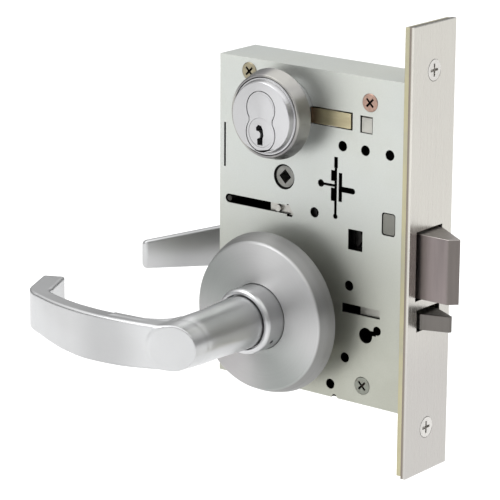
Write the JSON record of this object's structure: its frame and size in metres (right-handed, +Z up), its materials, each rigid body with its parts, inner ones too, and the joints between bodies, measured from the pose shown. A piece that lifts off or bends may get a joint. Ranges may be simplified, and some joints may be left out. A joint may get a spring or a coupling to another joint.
{
  "type": "mortise lock",
  "caption": "Mortise lock with a flat sheet-metal case, armored front, latchbolt, auxiliary latch, key cylinder and curved return levers on round roses.",
  "frame": {"origin": "centre of the armored front's outer face", "axes": "+X out of the door edge, normal to the armored front; +Z up; -Y towards the outside, keyed face of the door"},
  "size_m": [0.2166, 0.2034, 0.2032],
  "materials": {
    "case_zinc": "zinc-plated sheet steel, satin with a faint yellow-green cast",
    "plate_zinc": "yellow zinc-plated steel",
    "front_satin": "satin, brushed along its length",
    "satin_chrome": "satin chrome",
    "cylinder_satin": "satin chrome, turned face",
    "bolt_steel": "brushed stainless steel",
    "clamp_brass": "plain brass",
    "screw_bronze": "dark plated screws",
    "spring_steel": "spring wire",
    "plain_steel": "plain machined steel"
  },
  "bodies": {
    "lock_case": {"case_box": "case_zinc", "case_cover": "case_zinc", "cover_posts": "plain_steel", "cover_screws": "screw_bronze", "front_mounting_plate": "plate_zinc", "plate_rivets": "plain_steel", "armored_front": "front_satin", "armored_front_screws": "plain_steel", "latch_spring": "spring_steel", "latch_spring_guide": "plain_steel", "aux_spring": "spring_steel", "aux_spring_stop": "plain_steel", "deadlock_pivot": "plain_steel", "outside_rose": "satin_chrome", "inside_rose": "satin_chrome", "outside_bushing": "satin_chrome", "inside_bushing": "satin_chrome", "outside_rose_liner": "plain_steel", "inside_rose_liner": "plain_steel", "through_bolts": "plain_steel", "cylinder_shell": "cylinder_satin", "cylinder_collar": "satin_chrome", "core_body": "cylinder_satin", "clamp_bar": "clamp_brass", "clamp_screw": "plain_steel", "clamp_screw_guide": "plain_steel", "latch_guide_block": "plain_steel", "slide_stop_pin": "plain_steel", "outside_hub_spring": "spring_steel", "inside_hub_spring": "spring_steel"},
    "outside_handle": {"outside_lever": "satin_chrome", "outside_spindle": "plain_steel", "outside_hub": "plain_steel"},
    "inside_handle": {"inside_lever": "satin_chrome", "inside_spindle": "plain_steel", "inside_hub": "plain_steel"},
    "latch": {"latchbolt": "bolt_steel", "latch_tail": "plain_steel", "latch_tail_pin": "plain_steel"},
    "auxiliary_latch": {"aux_latch": "bolt_steel", "aux_latch_tail": "plain_steel"},
    "deadlock": {"deadlock_lever": "plate_zinc"},
    "key_plug": {"core_plug": "cylinder_satin"},
    "cam": {"throw_member": "plain_steel", "cylinder_cam": "clamp_brass", "cam_screws": "plain_steel"},
    "turn": {"turn_hub": "plain_steel"},
    "lock_slide": {"locking_slide": "plain_steel"}
  },
  "joints": [
    {"name": "outside_handle_turn", "type": "hinge", "parent": "lock_case", "child": "outside_handle", "pos_m": [-0.06985, -0.04, -0.0353], "axis": [0, -1, 0], "range_deg": [0, 45], "stiffness_Nm_per_rad": 0.8, "springref_deg": -45.84},
    {"name": "inside_handle_turn", "type": "hinge", "parent": "lock_case", "child": "inside_handle", "pos_m": [-0.06985, 0.04, -0.0353], "axis": [0, -1, 0], "range_deg": [0, 45]},
    {"name": "latch_slide", "type": "slide", "parent": "lock_case", "child": "latch", "axis": [-1, 0, 0], "range_m": [0, 0.01906], "deforming": ["latch_spring"]},
    {"name": "auxiliary_latch_slide", "type": "slide", "parent": "lock_case", "child": "auxiliary_latch", "axis": [-1, 0, 0], "range_m": [0, 0.0125], "stiffness_N_per_m": 150, "springref_m": -0.012, "deforming": ["aux_spring"]},
    {"name": "deadlock_swing", "type": "hinge", "parent": "lock_case", "child": "deadlock", "pos_m": [-0.02625, 0.0095, 0.00455], "axis": [0, 1, 0], "range_deg": [0, 20.7]},
    {"name": "key_plug_turn", "type": "hinge", "parent": "lock_case", "child": "key_plug", "pos_m": [-0.06985, -0.018, 0.0487], "axis": [0, -1, 0], "continuous": true},
    {"name": "cam_turn", "type": "hinge", "parent": "lock_case", "child": "cam", "pos_m": [-0.06985, -0.002, 0.0555], "axis": [0, -1, 0], "continuous": true},
    {"name": "turn_hub_turn", "type": "hinge", "parent": "lock_case", "child": "turn", "pos_m": [-0.0712, 0, 0.02485], "axis": [0, 1, 0], "range_deg": [0, 60]},
    {"name": "lock_slide_slide", "type": "slide", "parent": "lock_case", "child": "lock_slide", "axis": [-1, 0, 0], "range_m": [0, 0.01541]}
  ],
  "couplings": [
    {"joint": "inside_handle_turn", "follows": "outside_handle_turn", "ratio": 1},
    {"joint": "latch_slide", "follows": "outside_handle_turn", "m_per_rad": 0.024255},
    {"joint": "deadlock_swing", "follows": "auxiliary_latch_slide", "rad_per_m": 28.89},
    {"joint": "cam_turn", "follows": "key_plug_turn", "ratio": 1},
    {"joint": "lock_slide_slide", "follows": "turn_hub_turn", "m_per_rad": 0.014706}
  ]
}
